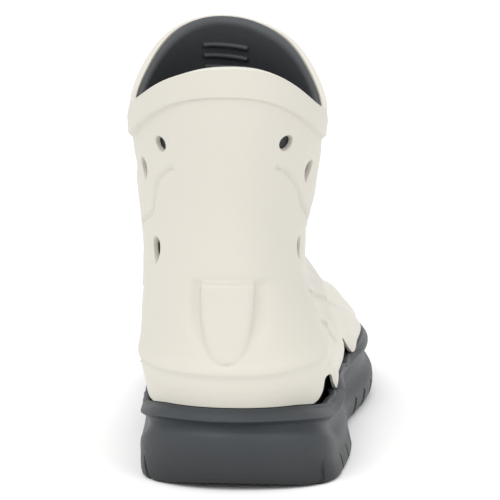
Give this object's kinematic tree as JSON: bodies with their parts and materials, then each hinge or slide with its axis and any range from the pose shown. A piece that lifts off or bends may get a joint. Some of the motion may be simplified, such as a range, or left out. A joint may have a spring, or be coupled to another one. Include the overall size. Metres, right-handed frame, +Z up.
{
  "type": "rubber deck boot",
  "caption": "Right ankle deck boot: off-white perforated foam shell with raised collar band and heel ledge, dark inner bootie and thick dark grey lugged sole.",
  "frame": {"origin": "bottom centre of the boot's overall box, on the floor", "axes": "+Y from heel to toe, +X to the outer (lateral) side of this right boot, +Z up"},
  "size_m": [0.1097, 0.2993, 0.2018],
  "materials": {
    "shell_foam": "smooth moulded foam with a soft satin skin",
    "bootie_foam": "smooth dark moulded foam",
    "sole_rubber": "matte moulded rubber",
    "footbed_foam": "matte foam"
  },
  "bodies": {
    "root": {"upper": "shell_foam", "lining": "bootie_foam", "sole": "sole_rubber", "insole": "footbed_foam"}
  },
  "joints": []
}
